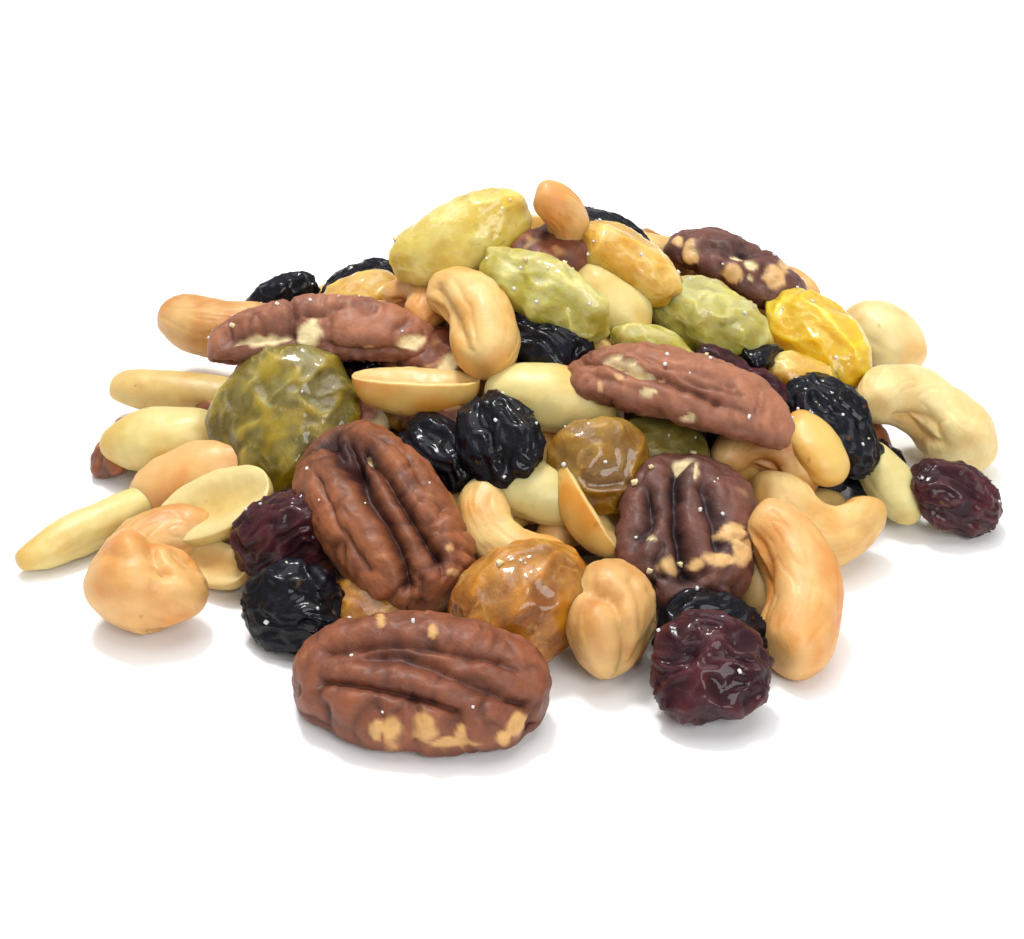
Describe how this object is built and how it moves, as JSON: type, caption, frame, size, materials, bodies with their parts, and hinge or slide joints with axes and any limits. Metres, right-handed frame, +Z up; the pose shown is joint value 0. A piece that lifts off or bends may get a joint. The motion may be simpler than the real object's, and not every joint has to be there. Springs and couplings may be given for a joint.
{
  "type": "heap of trail mix",
  "caption": "Loose heap of trail mix on a flat surface: pecan halves, cashews, peanuts, golden raisins and dark raisins, with no bowl.",
  "frame": {"origin": "on the surface that the heap lies on, under the middle of the heap's outer box", "axes": "+Z up, +X to the right and +Y to the back, seen from the front; the front is towards -Y"},
  "size_m": [0.1373, 0.1406, 0.0426],
  "materials": {
    "trail_mix": "satin",
    "pecan": "satin",
    "cashew": "satin",
    "peanut": "satin",
    "golden_raisin": "gloss",
    "dark_raisin": "gloss"
  },
  "bodies": {
    "root": {"trail_mix_heap": "trail_mix"}
  },
  "joints": []
}
